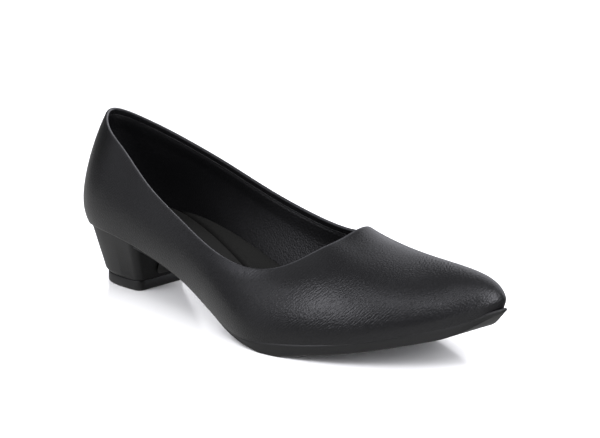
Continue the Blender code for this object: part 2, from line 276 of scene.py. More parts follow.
def outer_wall(u, v):
    """Outer face of the upper: at each u a cubic Bezier rib, with v from the feather to the topline."""
    feather, lower, upper, topline, _ = rib_controls(u)
    v = v[:, :, None]
    w = 1.0 - v
    low = w**3 * feather[:, None] + 3.0 * v * w**2 * lower[:, None]
    return low + 3.0 * v**2 * w * upper[:, None] + v**3 * topline[:, None]


def wall_normals(u, v):
    """Unit normals of the outer face: the cross product of its two small differences."""
    around = outer_wall((u + TINY) % 1.0, v) - outer_wall((u - TINY) % 1.0, v)
    high = np.clip(v + TINY, 0.0, 1.0)
    low = np.clip(v - TINY, 0.0, 1.0)
    upward = outer_wall(u, high) - outer_wall(u, low)
    normal = np.cross(upward, around)
    return normal / np.linalg.norm(normal, axis=2)[:, :, None]


# The feather line of the outer side, from the toe to the back of the heel
DENSE_U = np.linspace(0.0, 0.5, 1200)
DENSE_LINE = rib_controls(DENSE_U)[0]


def floor_height(x):
    """Height of the bottom curve, the underside of the upper, at x."""
    return np.interp(x, DENSE_LINE[::-1, 0], DENSE_LINE[::-1, 2])


def place_at(x):
    """The value of u on the outer side where the feather line is at x."""
    return np.interp(-x, -DENSE_LINE[:, 0], DENSE_U)


def topline_x(u):
    """How far forward the topline lies at u, as a column."""
    return rib_controls(u)[3][:, 0:1]


def ramp(value, start, span):
    """Eases from 0 at a start to 1 a span past it: three times the square less twice the cube of the share.
    The pairs named RAMP and FADE hold a start and a span."""
    share = np.clip((value - start) / span, 0.0, 1.0)
    return share * share * (3.0 - 2.0 * share)


# The foot of the wall: a small round over the heel, and a tuck under the toe that grows to the tip
SEAT_ROUND = 0.7
SEAT_ROUND_FADE = (60.0, 15.0)
FOOT_BLEND = 0.3
TOE_TUCK = 1.6
TOE_TUCK_RAMP = (195.0, 45.0)
TOE_TUCK_HEIGHT = 6.5
TIP_TUCK = 1.2
TIP_TUCK_RAMP = (247.5, 4.0)
TOE_MIDDLE = (222.0, 6.0)


def toe_tuck(feather):
    """How the foot of the wall is drawn in under the toe: towards one point in the middle of the toe, by
    a length that grows from the vamp to the tip."""
    way = TOE_MIDDLE - feather[:, :2]
    way = way / np.linalg.norm(way, axis=1)[:, None]
    x = feather[:, 0:1]
    return way * (TOE_TUCK * ramp(x, *TOE_TUCK_RAMP) + TIP_TUCK * ramp(x, *TIP_TUCK_RAMP))


def wall(u, v, depth):
    """Points a depth inside the outer face. Near the feather line the direction turns level and the
    points settle on the bottom curve, so the wall stands square on the sole. Over the heel its foot is
    a small quarter round, and under the toe it is drawn in by the square of the height that is left."""
    feather, lower, _, _, out = rib_controls(u)
    height = v * 3.0 * np.linalg.norm(lower - feather, axis=1)[:, None]
    short = np.clip(1.0 - height / SEAT_ROUND, 0.0, 1.0)
    over_heel = 1.0 - ramp(feather[:, 0:1], *SEAT_ROUND_FADE)
    depth = depth + over_heel * SEAT_ROUND * (1.0 - np.sqrt(1.0 - short**2))
    left = np.clip(1.0 - height / TOE_TUCK_HEIGHT, 0.0, 1.0)[:, :, None]
    pull = left**2 * toe_tuck(feather)[:, None]
    blend = ramp(v, 0.0, FOOT_BLEND)
    level = np.column_stack([out, np.zeros(len(u))])[:, None, :]
    way = (1.0 - blend)[:, :, None] * level + blend[:, :, None] * wall_normals(u, v)
    points = outer_wall(u, v) - depth[:, :, None] * way
    points[:, :, :2] += pull
    foot_x = feather[:, 0:1] - out[:, 0:1] * depth + pull[:, :, 0]
    points[:, :, 2] += (floor_height(foot_x) - feather[:, 2:3]) * (1.0 - blend)
    return points


def places_round(count, crowd=0.45):
    """Values of u round the shoe, closer together at the toe and at the back of the heel."""
    t = np.arange(count) / count
    return t - crowd * np.sin(4.0 * np.pi * t) / (4.0 * np.pi)


def breast_x(y, z):
    """The flat front of the heel, leaning and a little askew."""
    return BREAST_FOOT_X + BREAST_LEAN * (z - TIP_HEIGHT) - BREAST_SKEW * y


def grid_faces(rows, columns, wrap_rows, wrap_columns, start):
    """Corner numbers of the quads of a grid whose rows and columns may close on themselves."""
    i = np.arange(rows if wrap_rows else rows - 1)[:, None]
    j = np.arange(columns if wrap_columns else columns - 1)[None, :]
    i_next = (i + 1) % rows
    j_next = (j + 1) % columns
    corners = [i * columns + j, i_next * columns + j, i_next * columns + j_next, i * columns + j_next]
    return start + np.stack(np.broadcast_arrays(*corners), axis=-1).reshape(-1, 4)


def put(name, data):
    """A new object in the scene."""
    thing = bpy.data.objects.new(name, data)
    bpy.context.scene.collection.objects.link(thing)
    return thing


# Points closer than this are one and shorter edges go, in metres; steeper edges stay sharp, in degrees
MERGE = 2e-6
SLIVER = 1e-7
SHARP = 50.0


def put_mesh(name, grids, material, node):
    """One closed piece from grids of points in the last's frame: (points, wrap rows, wrap columns).
    Points that fall together are merged, so edges and poles close."""
    points = []
    faces = []
    start = 0
    for grid, wrap_rows, wrap_columns in grids:
        rows, columns = grid.shape[:2]
        points.append(((grid - CENTRE) * MM).reshape(-1, 3))
        faces.append(grid_faces(rows, columns, wrap_rows, wrap_columns, start))
        start += rows * columns
    data = bpy.data.meshes.new(name)
    data.from_pydata(np.vstack(points), [], np.vstack(faces))
    solid = bmesh.new()
    solid.from_mesh(data)
    bmesh.ops.remove_doubles(solid, verts=solid.verts, dist=MERGE)
    bmesh.ops.dissolve_degenerate(solid, edges=solid.edges, dist=SLIVER)
    bmesh.ops.recalc_face_normals(solid, faces=solid.faces)
    if solid.calc_volume(signed=True) < 0.0:
        bmesh.ops.reverse_faces(solid, faces=solid.faces)
    solid.to_mesh(data)
    solid.free()
    data.shade_smooth()
    data.set_sharp_from_angle(angle=np.radians(SHARP))
    data.materials.append(material)
    piece = put(name, data)
    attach(piece, BODY)
    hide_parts(node)
    return piece


def mark(piece, name, values):
    """Gives every point of a piece a number that its material reads by this name."""
    piece.data.attributes.new(name, "FLOAT", "POINT").data.foreach_set("value", values.ravel())


def new_material(name):
    """A new node material: the material, its tree and its Principled shader."""
    material = bpy.data.materials.new(name)
    material.use_nodes = True
    return material, material.node_tree, material.node_tree.nodes["Principled BSDF"]


def add(tree, kind, settings=None, links=None):
    """Adds a shader node: settings are its properties or input values, links its inputs by name."""
    node = tree.nodes.new("ShaderNode" + kind)
    for key, value in (settings or {}).items():
        if isinstance(key, str) and hasattr(node, key):
            setattr(node, key, value)
        else:
            node.inputs[key].default_value = value
    for key, socket in (links or {}).items():
        tree.links.new(socket, node.inputs[key])
    return node


def grain_scale(size_mm):
    """Texture scale that gives cells of a real size, in object coordinates of metres."""
    return 1.0 / (size_mm * MM)


def noise(tree, place, size_mm, detail):
    """Soft noise with patches of a real size."""
    settings = {"Scale": grain_scale(size_mm), "Detail": detail}
    return add(tree, "TexNoise", settings, {"Vector": place})


def marked(tree, name):
    """The number that mark gave to the points under this name, 0 where there is none."""
    return add(tree, "Attribute", {"attribute_name": name}).outputs["Fac"]


def bumpy(tree, shader, height, strength, depth_mm):
    """Bends the shader's normal by a height, for a relief of a real depth."""
    settings = {"Strength": strength, "Distance": depth_mm * MM}
    bump = add(tree, "Bump", settings, {"Height": height})
    tree.links.new(bump.outputs["Normal"], shader.inputs["Normal"])


def uneven(tree, shader, patches, low, high):
    """Lets the roughness drift between two values from patch to patch."""
    settings = {"From Min": 0.3, "From Max": 0.7, "To Min": low, "To Max": high}
    rough = add(tree, "MapRange", settings, {"Value": patches})
    tree.links.new(rough.outputs["Result"], shader.inputs["Roughness"])


def tinted(tree, colour, value, low, high):
    """The colour times a factor that runs from low to high as a value runs from 0 to 1."""
    tint = add(tree, "MapRange", {"To Min": low, "To Max": high}, {"Value": value})
    settings = {"blend_type": "MULTIPLY", "Fac": 1.0, "Color1": (*colour, 1.0)}
    return add(tree, "MixRGB", settings, {"Color2": tint.outputs["Result"]}).outputs["Color"]


# Painted light in the coat's colour: a painted highlight, paler, over the folded topline and its gathers,
# and a painted shade, darker, in the sock's groove
PAINTED_LIGHT = "turned"
PAINTED_FOLD_HIGHLIGHT = linear("3e3e40")
PAINTED_GROOVE_SHADE = linear("0b0b0a")

# Grain is faint where this is 1, leather drawn flat over the last's ridge, and strong at -2, gathered
STRETCHED = "stretched"
GRAIN_PRESS = {"From Min": -2.0, "To Min": -2.2, "To Max": -0.6}

# The grain is turned so that its strokes run obliquely down the outer side, in radians
GRAIN_TURN = (0.0, 0.86, 0.76)


def leather_material(
    name, colour, roughness, pebble_mm, relief_mm, stretch=1.0, stroke=0.0, ior=1.4, turned=PAINTED_FOLD_HIGHLIGHT,
):
    """Faux leather: a black coat embossed with fine pebbles and oblique strokes, which break the soft
    highlights into a grain. The furrows between the pebbles are a little darker. Real pebbles are too
    fine for the picture to show, so they are drawn coarser."""
    material, tree, shader = new_material(name)
    place = add(
        tree, "Mapping",
        {"vector_type": "TEXTURE", "Rotation": GRAIN_TURN, "Scale": (1.0, 1.0, stretch)},
        {"Vector": add(tree, "TexCoord").outputs["Object"]},
    ).outputs["Vector"]
    bend = noise(tree, place, 4.0 * pebble_mm, 2.0).outputs["Color"]
    shift = {"blend_type": "LINEAR_LIGHT", "Fac": 0.0002}
    drift = add(tree, "MixRGB", shift, {"Color1": place, "Color2": bend}).outputs["Color"]
    pebbles = {"feature": "SMOOTH_F1", "Smoothness": 0.5, "Randomness": 0.75}
    pebbles["Scale"] = grain_scale(pebble_mm)
    cells = add(tree, "TexVoronoi", pebbles, {"Vector": drift}).outputs["Distance"]
    waves = {"Distortion": 5.0, "Detail": 2.0, "Detail Scale": 2.2}
    waves["Scale"] = 0.1 * np.pi * grain_scale(1.4 * pebble_mm)
    strokes = add(tree, "TexWave", waves, {"Vector": place}).outputs["Fac"]
    relief = add(tree, "Math", {"operation": "MULTIPLY_ADD", 1: stroke}, {0: strokes, 2: cells})
    press = add(tree, "MapRange", GRAIN_PRESS, {"Value": marked(tree, STRETCHED)})
    factors = {0: relief.outputs[0], 1: press.outputs["Result"]}
    height = add(tree, "Math", {"operation": "MULTIPLY"}, factors)
    bumpy(tree, shader, height.outputs[0], 0.5, relief_mm)
    wide = noise(tree, place, 30.0, 3.0).outputs["Fac"]
    uneven(tree, shader, wide, roughness - 0.04, roughness + 0.05)
    # Where a piece is marked, its coat is painted another colour: a painted highlight over the upper's fold,
    # a painted shade in the sock's groove
    coat = add(
        tree, "MixRGB", {"Color2": (*turned, 1.0)},
        {"Fac": marked(tree, PAINTED_LIGHT), "Color1": tinted(tree, colour, cells, 1.08, 0.8)},
    )
    tree.links.new(coat.outputs["Color"], shader.inputs["Base Color"])
    shader.inputs["IOR"].default_value = ior
    return material


def rubber_material(name, colour, roughness):
    """Moulded rubber: matte, with the faint even tooth of a sand-blasted mould."""
    material, tree, shader = new_material(name)
    place = add(tree, "TexCoord").outputs["Object"]
    bumpy(tree, shader, noise(tree, place, 0.35, 2.0).outputs["Fac"], 0.25, 0.08)
    wide = noise(tree, place, 12.0, 4.0).outputs["Fac"]
    uneven(tree, shader, wide, roughness - 0.06, roughness + 0.06)
    tree.links.new(tinted(tree, colour, wide, 0.85, 1.15), shader.inputs["Base Color"])
    shader.inputs["IOR"].default_value = 1.5
    return material


# How the rows of the outer face crowd at its foot and its brow
FACE_CROWD = 0.6

# Power of sine and cosine round the fold: 1 would be round, smaller is flatter on top
FOLD_SQUARE = 0.8

# Gathers in the outer topline: where they lie, the share of the wall where they start, and the ripples
GATHER_X = 144.0
GATHER_WIDE = 15.0
GATHER_RAMP = (0.78, 0.16)
PUCKER_LONG = 5.3
PUCKER_SHORT = 3.7
PUCKER_SHIFT = 0.8
PUCKER_DEEP = 0.09
PUCKER_FADE = (0.93, 0.07)

# The painted highlight on the fold: its share at the heel, where along the topline it grows, how high on the
# crest, and its share over the gathers
PALE_LEAST = 0.12
PALE_RAMP = (95.0, 40.0)
PALE_CREST_RAMP = (0.55, 0.4)
PALE_GATHERS = 0.5

# Round the throat the painted highlight on the fold reaches lower, and the leather below it is drawn flat
# over the ridge
THROAT_RAMP = (150.0, 25.0)
THROAT_PALE = 1.1
RIDGE_RAMP = (0.55, 0.2)
RIDGE_GATHERS = 1.6


def half_turn(count):
    """Angles of a half turn in even steps without its two ends, as a row."""
    return np.radians(np.linspace(0.0, 180.0, count)[None, 1:-1])


def topline_pace(u):
    """Millimetres of wall per unit of v at the topline: three times the length of the last handle."""
    _, _, upper, topline, _ = rib_controls(u)
    return 3.0 * np.linalg.norm(topline - upper, axis=1)[:, None]


def gathered(u, v):
    """How much the leather is gathered under the lowest part of the outer topline, where the fold is drawn
    tight: a bell along the edge that fades below it."""
    outer_side = (u < 0.5)[:, None]
    near = np.exp(-((topline_x(u) - GATHER_X) / GATHER_WIDE) ** 2) * outer_side
    return near * ramp(v, *GATHER_RAMP)


def puckers(u, v):
    """Small ripples along the edge where the leather is gathered: the sum of two sines."""
    turn = 2.0 * np.pi * topline_x(u)
    ripple = np.sin(turn / PUCKER_LONG) + np.sin(turn / PUCKER_SHORT + PUCKER_SHIFT)
    return PUCKER_DEEP * gathered(u, v) * (1.0 - ramp(v, *PUCKER_FADE)) * ripple


class PUMP_OT_upper(Operator):
    """Leather upper: outer face, fold over the topline, band turned in, and the leather's hidden back"""

    bl_idname = "pump.upper"
    bl_label = "Leather upper"

    def execute(self, context):
        sizes = context.scene.pump_sizes
        colours = context.scene.pump_colours
        material = leather_material(
            "pebbled_faux_leather", colours.leather, roughness=0.31, pebble_mm=0.68, relief_mm=0.155,
            stretch=1.7, stroke=0.4,
        )
        u = places_round(sizes.around)
        one = np.ones((len(u), 1))
        pace = topline_pace(u)
        roll = 0.5 * sizes.wall / MM
        brow = 1.0 - roll / pace
        hem = brow - sizes.band / MM / pace
        rise = np.linspace(0.0, 1.0, 96)[None, :]
        rise = rise - FACE_CROWD * np.sin(2.0 * np.pi * rise) / (2.0 * np.pi)
        turn = half_turn(17)
        over = np.sin(turn) ** FOLD_SQUARE
        across = np.sign(np.cos(turn)) * np.abs(np.cos(turn)) ** FOLD_SQUARE
        inside = np.linspace(0.0, 1.0, 10)[None, :]
        lip = half_turn(7)
        fall = np.linspace(1.0, 0.0, 24)[None, :]
        v = np.hstack([
            brow * rise,
            brow + over * roll / pace,
            brow + (hem - brow) * inside,
            hem - np.sin(lip) * 0.5 * roll / pace,
            hem * fall,
        ])
        depth = roll * one * np.hstack([
            0.0 * rise,
            1.0 - across,
            np.full_like(inside, 2.0),
            1.5 + 0.5 * np.cos(lip),
            np.ones_like(fall),
        ])
        face = rise.shape[1]
        depth[:, :face] -= puckers(u, v[:, :face])
        upper = put_mesh("upper_leather", [(wall(u, v, depth), True, True)], material, "upper")
        # Painted highlight: the fold's crest and the gathers under the outer topline are painted paler, for
        # the light their roll catches
        crest = (v - brow) * pace / roll
        throat = ramp(topline_x(u), *THROAT_RAMP)
        highlight_share = PALE_LEAST + (1.0 - PALE_LEAST) * ramp(topline_x(u), *PALE_RAMP)
        pale = highlight_share * ramp(crest + THROAT_PALE * throat, *PALE_CREST_RAMP)
        tight = gathered(u, v) * (depth < roll)
        mark(upper, PAINTED_LIGHT, np.maximum(pale, PALE_GATHERS * tight))
        mark(upper, STRETCHED, throat * ramp(v, *RIDGE_RAMP) - RIDGE_GATHERS * tight)
        return {"FINISHED"}


# The lining: its gap to the leather's back, how much thinner it is than half the wall, its padded edge
LINING_GAP = 0.1
LINING_THINNER = 0.05
PADDING_RAMP = (0.0, 1.6)
PADDING_FADE = (3.0, 6.0)


class PUMP_OT_lining(Operator):
    """Lining of the wall: its padded edge lies under the turned band, and it runs down to the sock"""

    bl_idname = "pump.lining"
    bl_label = "Lining"

    def execute(self, context):
        sizes = context.scene.pump_sizes
        colours = context.scene.pump_colours
        material = leather_material(
            "grained_lining", colours.lining, roughness=0.5, pebble_mm=0.95, relief_mm=0.3,
        )
        u = places_round(sizes.around)
        one = np.ones((len(u), 1))
        pace = topline_pace(u)
        roll = 0.5 * sizes.wall / MM
        thick = roll - LINING_THINNER
        back = roll + LINING_GAP
        edge = 1.0 - (roll + sizes.band / MM + thick) / pace
        climb = np.linspace(0.0, 1.0, 24)[None, :]
        lip = half_turn(9)
        fall = np.linspace(1.0, 0.0, 80)[None, :]
        down = (1.0 - fall) * edge * pace
        swell = sizes.padding / MM * ramp(down, *PADDING_RAMP) * (1.0 - ramp(down, *PADDING_FADE))
        v = np.hstack([edge * climb, edge + np.sin(lip) * 0.5 * thick / pace, edge * fall])
        depth = np.hstack([
            back * one * np.ones_like(climb),
            (back + 0.5 * thick * (1.0 - np.cos(lip))) * one,
            back + thick + swell,
        ])
        put_mesh("lining", [(wall(u, v, depth), True, True)], material, "upper")
        return {"FINISHED"}


def tube(rings):
    """A grid through rings of points, closed round them."""
    return np.stack(rings, axis=1), True, False


def sheet(points):
    """A grid that is open on all sides."""
    return points, False, False


def bridge(one, other, across):
    """Straight lines of points from each point of one line to its partner on the other."""
    w = np.linspace(0.0, 1.0, across + 1)[None, :, None]
    return (1.0 - w) * one[:, None] + w * other[:, None]


def ladder(ring, across):
    """Fills a ring with lines from each point of its outer half to the partner on its inner half."""
    half = len(ring) // 2
    return bridge(ring[:half + 1], ring[(-np.arange(half + 1)) % len(ring)], across)


def sock_ring(u, inset, height):
    """The sock's outline at a distance inside the feather line and a height over the bottom curve."""
    feather, _, _, _, out = rib_controls(u)
    line = feather.copy()
    line[:, :2] += toe_tuck(feather) - out * inset
    line[:, 2] = floor_height(line[:, 0]) + height
    return line


# The sock's points round it and across it, its foot's inset, and its edge: inset and depth under the top
SOCK_AROUND = 320
SOCK_ACROSS = 120
SOCK_FOOT = 2.2
SOCK_EDGE = [(2.2, 1.4), (2.25, 0.7), (2.45, 0.2), (2.9, 0.0)]

# Its edge curls up against the wall along the waist: how high, how far out, from how far in, and where
SOCK_CUP = 2.6
SOCK_CUP_OUT = 1.6
SOCK_CUP_WIDE = 8.0
WAIST_RAMP = (25.0, 75.0)
WAIST_FADE = (140.0, 30.0)

# The half sock: its ends, its inset in the seat, the round of its front end and its gap to the sock
HALF_SOCK_BACK_X = 10.6
HALF_SOCK_FRONT_X = 124.0
HALF_SOCK_INSET = 4.4
HALF_SOCK_END = 3.6
HALF_SOCK_GAP = 0.03

# Its straight edges ahead of the seat: where they start, and their slope and y there
HALF_SOCK_EDGE_X = 49.0
HALF_SOCK_OUTER = (0.26, -24.0)
HALF_SOCK_INNER = (-0.255, 18.4)

# The groove along it: how far beside the edge, how wide and how deep it is, and its end in front
GROOVE_BESIDE = 1.6
GROOVE_WIDE = 1.8
GROOVE_DEEP = 1.8
GROOVE_END = 1.5


def half_sock_edges(x):
    """Outer and inner edge of the half sock at x: the sock's outline in the seat, then two straight lines
    that draw together forward and close in a round end."""
    outer = sock_ring(DENSE_U, HALF_SOCK_INSET, 0.0)[::-1]
    inner = sock_ring((1.0 - DENSE_U) % 1.0, HALF_SOCK_INSET, 0.0)[::-1]
    ahead = x - HALF_SOCK_EDGE_X
    low = np.maximum(np.interp(x, outer[:, 0], outer[:, 1]), np.polyval(HALF_SOCK_OUTER, ahead))
    high = np.minimum(np.interp(x, inner[:, 0], inner[:, 1]), np.polyval(HALF_SOCK_INNER, ahead))
    bow = np.clip((x - HALF_SOCK_FRONT_X + HALF_SOCK_END) / HALF_SOCK_END, 0.0, 1.0)
    middle = 0.5 * (low + high)
    half = 0.5 * (high - low) * np.sqrt(1.0 - bow**2)
    return middle - half, middle + half


def groove(x, y):
    """The sunk seam in the sock along the half sock's edge: a bell across the edge, open at the seat's
    back and at the front end."""
    outer, inner = half_sock_edges(np.clip(x, HALF_SOCK_BACK_X, HALF_SOCK_FRONT_X))
    beside = np.maximum(outer - y, y - inner)
    ahead = 1.0 - ramp(x, HALF_SOCK_FRONT_X, GROOVE_END)
    return ahead * np.exp(-((beside - GROOVE_BESIDE) / GROOVE_WIDE) ** 2)


class PUMP_OT_sock(Operator):
    """Sock on the sole and the half sock under the heel"""

    bl_idname = "pump.sock"
    bl_label = "Sock"

    def execute(self, context):
        sizes = context.scene.pump_sizes
        colours = context.scene.pump_colours
        material = leather_material(
            "grained_sock", colours.sock, roughness=0.75, pebble_mm=0.6, relief_mm=0.12,
            ior=1.2, turned=PAINTED_GROOVE_SHADE,
        )
        tall = sizes.sock / MM
        sock = put_mesh("sock", self.sock(tall), material, "insole")
        # Painted shade: the sock is painted darker along the groove beside the half sock's edge, where shade
        # falls
        place = np.empty(3 * len(sock.data.vertices))
        sock.data.vertices.foreach_get("co", place)
        place = place.reshape(-1, 3) / MM + CENTRE
        mark(sock, PAINTED_LIGHT, groove(place[:, 0], place[:, 1]))
        put_mesh("heel_sock", self.half_sock(tall, sizes.heel_sock / MM), material, "insole")
        return {"FINISHED"}

    def sock(self, tall):
        """A sheet with a rounded edge: rings from its foot to its top, and lines across from side to side.
        The edge's curl eases out to the flat middle, where the groove is sunk."""
        u = places_round(SOCK_AROUND)
        rings = [sock_ring(u, SOCK_FOOT, 0.0)]
        rings += [sock_ring(u, inset, tall - below) for inset, below in SOCK_EDGE]
        foot_x = rings[0][:, 0]
        waist = ramp(foot_x, *WAIST_RAMP) * (1.0 - ramp(foot_x, *WAIST_FADE))
        out = rib_controls(u)[4]
        for ring in rings[1:]:
            ring[:, :2] += out * (SOCK_CUP_OUT * waist)[:, None]
            ring[:, 2] += SOCK_CUP * waist
        top = ladder(rings[-1], SOCK_ACROSS)
        width = np.linalg.norm(top[:, -1] - top[:, 0], axis=1)[:, None]
        share = np.linspace(0.0, 1.0, top.shape[1])[None, :]
        away = ramp(np.minimum(share, 1.0 - share) * width, 0.0, SOCK_CUP_WIDE)
        flat = floor_height(top[:, :, 0]) + tall
        top[:, :, 2] += (flat - top[:, :, 2]) * away
        inner = top[:, 1:-1]
        inner[:, :, 2] -= GROOVE_DEEP * groove(inner[:, :, 0], inner[:, :, 1])
        return [tube(rings), sheet(top), sheet(ladder(rings[0], 24))]

    def half_sock(self, tall, thick):
        """A sheet on the sock: x runs from the back of the seat to its round front end, and at each x a
        line goes across from edge to edge. Its height follows a quarter round at the border."""
        along = 0.5 - 0.5 * np.cos(np.pi * np.linspace(0.0, 1.0, 161))
        across = np.sin(0.5 * np.pi * np.linspace(-1.0, 1.0, 41))[None, :]
        x = HALF_SOCK_BACK_X + (HALF_SOCK_FRONT_X - HALF_SOCK_BACK_X) * along
        outer, inner = half_sock_edges(x)
        half = 0.5 * (inner - outer)[:, None]
        y = 0.5 * (inner + outer)[:, None] + half * across
        ends = np.minimum(x - x[0], x[-1] - x)[:, None]
        border = np.clip(np.minimum(half * (1.0 - np.abs(across)), ends) / thick, 0.0, 1.0)
        base = (floor_height(x) + tall + HALF_SOCK_GAP)[:, None] + 0.0 * y
        along_x = x[:, None] + 0.0 * y
        top = np.stack([along_x, y, base + thick * np.sqrt(1.0 - (1.0 - border) ** 2)], axis=2)
        return [sheet(top), sheet(np.stack([along_x, y, base], axis=2))]


# The sole's tip: where it turns up and how far, and how far its lower edge draws back from which share
TIP_RAMP = (236.0, 16.0)
TIP_LIFT = 0.5
TIP_UNDERCUT = 2.2
TIP_UNDERCUT_FROM = 0.28

# How far the sole's top lies under the feather line, and its least height where it touches the floor
SOLE_SINK = 0.06
SOLE_LEAST = 0.8

# The sole's points along it and across it, and how they crowd at the toe
SOLE_ALONG = 400
SOLE_ACROSS = 40
SOLE_CROWD = 1.15

# Its edge from the top over the bead to the tread: inset and share of the thickness
SOLE_EDGE = [
    (1.7, 0.0), (0.9, -0.16), (0.6, -0.2), (0.25, -0.14), (0.06, -0.02), (0.0, 0.1), (0.08, 0.28),
    (0.12, 0.5), (0.1, 0.7), (0.04, 0.8), (0.14, 0.9), (0.4, 0.97), (0.8, 1.0),
]

# The tread in shares of the sole: its plain rim, where it starts and ends along it, and the ribs' walls
TREAD_RIM = 0.1
TREAD_RAMP = (0.06, 0.05)
TREAD_FADE = (0.62, 0.03)
TREAD_WALL_RAMP = (0.1875, 0.625)


def sole_ring(s, inset, share):
    """The sole's outline at an inset from its edge and a share of its thickness below its top: from the
    toe along the outer side to the breast, across the breast and back along the inner side."""
    place_outer = place_at(breast_x(-SEAT_HALF_WIDTH, SEAT_HEIGHT) + GAP)
    place_inner = place_at(breast_x(SEAT_HALF_WIDTH, SEAT_HEIGHT) + GAP)
    row_x, row_thick, row_edge = np.array(SOLE_ROWS).T
    sides = []
    for places in (s * place_outer, 1.0 - s * place_inner):
        feather, _, _, _, out = rib_controls(places % 1.0)
        x = feather[:, 0]
        tip = ramp(x, *TIP_RAMP)
        edge = np.interp(x, row_x, row_edge) - inset
        edge -= TIP_UNDERCUT * tip * max(share - TIP_UNDERCUT_FROM, 0.0)
        thick = np.interp(x, row_x, row_thick)
        top = feather[:, 2] - SOLE_SINK + TIP_LIFT * tip
        line = feather.copy()
        line[:, :2] += out * edge[:, None]
        line[:, 2] = np.maximum(top - share * (thick + GAP), (1.0 - share) * SOLE_LEAST)
        line[-1, 0] = breast_x(line[-1, 1], line[-1, 2]) + BREAST_GAP + inset
        sides.append(line)
    outer, inner = sides
    w = np.linspace(0.0, 1.0, SOLE_ACROSS + 1)[1:-1, None]
    breast = (1.0 - w) * outer[-1] + w * inner[-1]
    return np.vstack([outer, breast, inner[:0:-1]]), outer, inner


class PUMP_OT_sole(Operator):
    """Rubber sole with toe spring, arch, cross ribs and a tongue turned down over the breast"""

    bl_idname = "pump.sole"
    bl_label = "Sole"

    def execute(self, context):
        sizes = context.scene.pump_sizes
        colours = context.scene.pump_colours
        material = rubber_material("moulded_sole_rubber", colours.rubber, roughness=0.48)
        grids = self.sole(sizes.rib_pitch / MM, sizes.rib_depth / MM)
        put_mesh("rubber_sole", grids, material, "outsole")
        put_mesh("sole_tongue", self.tongue(), material, "outsole")
        return {"FINISHED"}

    def sole(self, rib_pitch, rib_depth):
        """Outlines from the top to the tread, closed by lines across. The ribs are a cosine along x with
        steepened walls, and they fade out at a plain rim, at the toe and at the arch."""
        s = np.linspace(0.0, 1.0, SOLE_ALONG) ** SOLE_CROWD
        rings = [sole_ring(s, inset, share) for inset, share in SOLE_EDGE]
        top, bottom = [bridge(outer, inner, SOLE_ACROSS) for _, outer, inner in (rings[0], rings[-1])]
        w = np.linspace(0.0, 1.0, SOLE_ACROSS + 1)[None, :]
        field = ramp(0.5 - np.abs(w - 0.5), 0.0, TREAD_RIM) * ramp(s[:, None], *TREAD_RAMP)
        field = field * (1.0 - ramp(s[:, None], *TREAD_FADE))
        wave = 0.5 - 0.5 * np.cos(2.0 * np.pi * bottom[:, :, 0] / rib_pitch)
        bottom[:, :, 2] += rib_depth * field * ramp(wave, *TREAD_WALL_RAMP)
        return [tube([ring for ring, _, _ in rings]), sheet(top), sheet(bottom)]

    def tongue(self):
        """A thin plate on the breast: a straight-sided outline with round lower corners, given four
        outlines that stand away from the breast and draw in at the front edge."""
        turn = np.radians(np.linspace(0.0, 90.0, 12))
        rings = []
        for share, inset in TONGUE_EDGE:
            corner = TONGUE_CORNER - inset
            y_from = TONGUE_FROM_Y + inset
            z_foot = TONGUE_FOOT_Z + inset
            bend_y = y_from + corner * (1.0 - np.sin(turn))
            bend_z = z_foot + corner * (1.0 - np.cos(turn))
            rise = np.linspace(z_foot + corner, TONGUE_TOP_Z, 12)[1:]
            side = np.column_stack([np.full(len(rise), y_from), rise])
            right = np.vstack([np.column_stack([bend_y, bend_z]), side])
            left = right * (-1.0, 1.0) + (TONGUE_FROM_Y + TONGUE_TO_Y, 0.0)
            line = np.vstack([right, left[::-1]])
            x = breast_x(line[:, 0], line[:, 1]) + BREAST_GAP + share * TONGUE_THICK
            rings.append(np.column_stack([x, line]))
        half = len(rings[0]) // 2
        ends = (rings[0], rings[-1])
        return [tube(rings)] + [sheet(bridge(ring[:half], ring[:half - 1:-1], 8)) for ring in ends]


def even_steps(line, count):
    """Points at equal distances along a line."""
    run = np.concatenate([[0.0], np.cumsum(np.linalg.norm(np.diff(line, axis=0), axis=1))])
    at = np.linspace(0.0, run[-1], count)
    return np.column_stack([np.interp(at, run, line[:, k]) for k in range(line.shape[1])])


def even_halves(line, count):
    """Points at equal distances on each half of a line, so that its middle point is kept."""
    middle = len(line) // 2
    each = count // 2 + 1
    return np.vstack([even_steps(line[:middle + 1], each), even_steps(line[middle:], each)[1:]])


def heel_line(side, z):
    """One outline of the heel from the middle of its back round the outer side to the breast at a height
    and back along the inner side; the breast's two corners are quadratic curves."""
    soft = np.linspace(0.0, 1.0, 15)[1:, None]
    half = len(side) // 2
    arcs = []
    ways = (side[half::-1], side[half:])
    for way in ways:
        start = way[-1]
        corner = np.array([breast_x(start[1], z), start[1]])
        end_y = start[1] - np.sign(start[1]) * HEEL_CORNER
        end = np.array([breast_x(end_y, z), end_y])
        arcs.append((1 - soft) ** 2 * start + 2 * soft * (1 - soft) * corner + soft**2 * end)
    return np.vstack([ways[0], arcs[0], arcs[1][::-1], ways[1][:0:-1]])


